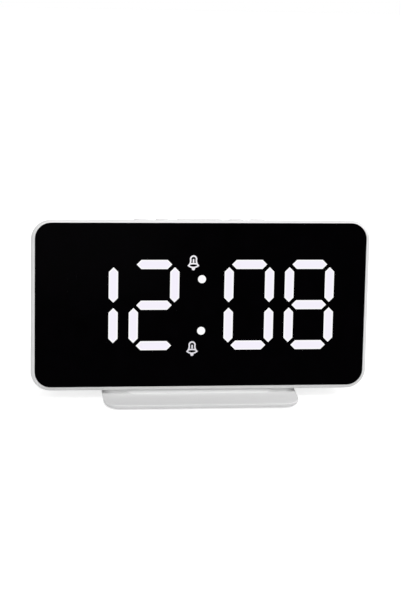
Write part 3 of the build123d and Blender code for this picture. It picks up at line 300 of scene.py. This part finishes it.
# Display behind the panel: a matt polyester film, a white reflector block with a well for each
# guide, and pairs of white LEDs soldered to the front of the display board.

# Polyester film: an even milky white with no gloss.
diffuser_film = grained(
    "matt polyester film", colours=("#E4E6E8", "#F0F1F2"), grain=0.15, roughness=(0.60, 0.75), relief=0.01)
dress(diffuser_film, "diffuser_film")

# Reflector ABS: a warmer, chalky white.
reflector_white = grained(
    "white reflector ABS", colours=("#EDEDE9", "#F4F4F1"), grain=0.3, roughness=(0.50, 0.65), relief=0.005)
dress(reflector_white, "reflector")

# LED phosphor: a pale yellow, waxy skin.
led_phosphor = grained(
    "LED phosphor", colours=("#E4DDA6", "#EFE9C2"), grain=0.1, roughness=(0.35, 0.50), relief=0.005)
dress(led_phosphor, "segment_leds")

# Solder mask: a lacquered green, a little uneven over the weave of the laminate.
solder_mask = grained(
    "green solder mask on glass laminate", colours=("#1C5730", "#2A7342"), grain=0.5, roughness=(0.25, 0.40),
    relief=0.01)
dress(solder_mask, "display_board", "key_board")

# Circuit on the back of the board: chips and resistors in moulded epoxy, electrolytic capacitors in
# drawn aluminium cans, a crystal in a nickel-plated can and a sounder in black nylon.

# Chip epoxy: a matt, sandy black.
chip_epoxy = grained(
    "moulded chip epoxy", colours=("#1B1B1D", "#262629"), grain=0.1, roughness=(0.55, 0.70), relief=0.006)
dress(chip_epoxy, "controller_chip", "driver_chips", "chip_resistors")

# Drawn aluminium: bright, with fine lines along the draw.
drawn_aluminium = grained(
    "drawn aluminium can", colours=("#C6C9CC", "#D6D8DA"), grain=0.2, roughness=(0.25, 0.40), relief=0.004,
    stretch=(1, 12, 1), Metallic=1.0)
dress(drawn_aluminium, "filter_capacitors")

# Nickel plate: a warm grey, nearly a mirror.
nickel_plate = grained(
    "nickel-plated steel", colours=("#C2BFB6", "#D0CDC5"), grain=0.6, roughness=(0.12, 0.24), relief=0.001,
    Metallic=1.0)
dress(nickel_plate, "clock_crystal")

# Black nylon: a soft satin black.
black_nylon = grained(
    "moulded black nylon", colours=("#171718", "#222224"), grain=0.25, roughness=(0.42, 0.58), relief=0.006)
dress(black_nylon, "alarm_buzzer")

# Power inlet: a black nylon housing behind a round hole in the rear cover, with a nickel-plated
# centre pin. It is held in the cover and takes the barrel plug of a low-voltage supply.
dress(black_nylon, "power_jack")
dress(nickel_plate, "power_jack_pin")

# Backup cell: a 20 mm coin cell in a cup of the rear cover, between two nickel-plated springs with
# red PVC leads, closed by an ABS cap that a coin turns.

# PVC lead: a deep red with a soft, waxy sheen.
pvc_lead = grained(
    "red PVC lead", colours=("#8A1D19", "#9C2A25"), grain=0.5, roughness=(0.40, 0.55), relief=0.005)
dress(pvc_lead, "cell_leads")
dress(nickel_plate, "coin_cell", "cell_positive_contact", "cell_negative_contact")
dress(white_abs, "battery_cap")

# Keys: five ABS push keys in slots of the case's top, each on the nylon plunger of a small switch.
# A ribbon cable of grey PVC takes the switches to the display board.
KEYS = ("left_outer", "left_inner", "snooze", "right_inner", "right_outer")
dress(white_abs, *(f"{key}_button" for key in KEYS))
dress(black_nylon, "key_switches", *(f"{key}_plunger" for key in KEYS))

# PVC ribbon: a flat mid grey, finely ribbed along its wires.
ribbon_pvc = grained(
    "grey PVC ribbon", colours=("#83868A", "#97999D"), grain=0.4, roughness=(0.45, 0.60), relief=0.02,
    stretch=(1, 12, 12))
dress(ribbon_pvc, "key_ribbon")

# Screws: zinc-plated self-tapping screws with cross recesses, turned from behind and below, for the
# case, the boards and the base.

# Zinc plate: a cool, slightly cloudy grey with blurred reflections.
zinc_plate = grained(
    "zinc-plated steel", colours=("#B4B5AF", "#C7C8C2"), grain=0.3, roughness=(0.28, 0.42), relief=0.002,
    Metallic=1.0)
dress(zinc_plate, "case_screws", "board_screws", "key_board_screws", "base_screws")

# Base: a flat moulded ABS plate with a low sloped neck that is screwed up into the case from below,
# on four black rubber feet.
dress(white_abs, "base_plate")

# Black rubber: a dry, dull black that shows no reflection.
black_rubber = grained(
    "black rubber", colours=("#131313", "#1F1F1F"), grain=0.3, roughness=(0.70, 0.90), relief=0.02)
dress(black_rubber, "rubber_feet")

# Studio: a plain pale floor under soft light. The camera sees the floor as white, but the clock's
# shadow stays on it, because part of its brightness is the light that falls there.
FLOOR_REACH = 1.1
AMBIENT = 0.26
FLOOR_LIFT = 0.70
scene = bpy.context.scene


def seen_directly(tree):
    """1 on a ray from the camera, off a glossy surface or through a clear one, 0 on light that bounces."""
    path = node(tree, "LightPath").outputs
    plain = node(tree, "Math", {0: path["Is Camera Ray"], 1: path["Is Glossy Ray"]}, operation="MAXIMUM")
    seen = node(tree, "Math", {0: plain.outputs[0], 1: path["Is Transmission Ray"]}, operation="MAXIMUM")
    return seen.outputs[0]


reach = np.array((-FLOOR_REACH, FLOOR_REACH))
across, deep = np.meshgrid(reach, reach)
ground = np.stack((across, deep, np.full_like(across, cad_bounds[0].z)), axis=-1)
floor_mesh = bpy.data.meshes.new("floor")
floor_mesh.from_pydata(ground.reshape(-1, 3).tolist(), [], [(0, 1, 3, 2)])
floor = bpy.data.objects.new("floor", floor_mesh)
scene.collection.objects.link(floor)

# Pale floor: a matt light grey that also shines where it is seen directly, so that it looks white.
pale_floor, tree = blank_material("pale floor")
lift = node(tree, "Math", {0: seen_directly(tree), 1: FLOOR_LIFT}, operation="MULTIPLY")
paint = node(tree, "BsdfDiffuse", {"Color": linear("#D8D8D8")})
shine = node(tree, "Emission", {"Strength": lift.outputs[0]})
both = node(tree, "AddShader", {0: paint.outputs[0], 1: shine.outputs[0]})
node(tree, "OutputMaterial", {"Surface": both.outputs[0]})
floor_mesh.materials.append(pale_floor)

# Sky: pure white where it is seen directly, and a weaker even light on the clock.
world = bpy.data.worlds.new("studio")
scene.world = world
world.use_nodes = True
tree = world.node_tree
tree.nodes.clear()
strength = node(tree, "MapRange", {"Value": seen_directly(tree), "To Min": AMBIENT, "To Max": 1.0})
sky = node(tree, "Background", {"Color": linear("#FFFFFF"), "Strength": strength.outputs[0]})
node(tree, "OutputWorld", {"Surface": sky.outputs[0]})


def softbox(name, place, size, power):
    """A square area light that looks at the face's centre: place and size in metres, power in watts."""
    lamp = bpy.data.lights.new(name, "AREA")
    lamp.size = size
    lamp.energy = power
    stand = bpy.data.objects.new(name, lamp)
    scene.collection.objects.link(stand)
    towards = Vector(FACE_CENTRE) - Vector(place)
    stand.matrix_world = Matrix.Translation(place) @ towards.to_track_quat("-Z", "Y").to_matrix().to_4x4()


softbox("overhead", place=(0.0, -0.40, 1.1), size=0.8, power=5.6)
softbox("side", place=(1.0, 0.1, 0.75), size=0.6, power=6.6)
softbox("fill", place=(-0.9, -0.3, 0.75), size=0.6, power=1.5)
softbox("front", place=(-0.15, -1.3, 0.36), size=0.6, power=3.4)
softbox("rear", place=(0.25, 1.3, 0.15), size=0.8, power=3.2)

# Camera: a long lens a little to the left of the face and above it, worked out from the outline of
# the panel in the photograph. The angles turn the face before the lens, and the place is the face's
# centre in millimetres to the right of the lens, above it and behind it, so minus is in front.
YAW, PITCH, ROLL = radians(7.56), radians(9.41), radians(-1.04)
FACE_FROM_CAMERA = np.array((0.542, -2.281, -852.1))
FOCAL_PIXELS = 1715.7
FRAME_HEIGHT = 601
SENSOR = 36.0
turn_yaw = np.array(((cos(YAW), 0, sin(YAW)), (0, 1, 0), (-sin(YAW), 0, cos(YAW))))
turn_pitch = np.array(((1, 0, 0), (0, cos(PITCH), -sin(PITCH)), (0, sin(PITCH), cos(PITCH))))
turn_roll = np.array(((cos(ROLL), -sin(ROLL), 0), (sin(ROLL), cos(ROLL), 0), (0, 0, 1)))
to_camera = turn_roll @ turn_pitch @ turn_yaw
face_axes = np.stack((RIGHT, UP, OUT), axis=1)
camera_axes = face_axes @ to_camera.T
camera_place = FACE_CENTRE - MM * camera_axes @ FACE_FROM_CAMERA
lens = bpy.data.cameras.new("camera")
lens.sensor_width = SENSOR
lens.lens = FOCAL_PIXELS * SENSOR / FRAME_HEIGHT
camera = bpy.data.objects.new("camera", lens)
scene.collection.objects.link(camera)
camera.matrix_world = Matrix.Translation(camera_place) @ Matrix(camera_axes.tolist()).to_4x4()
scene.camera = camera
scene.view_settings.view_transform = "Standard"
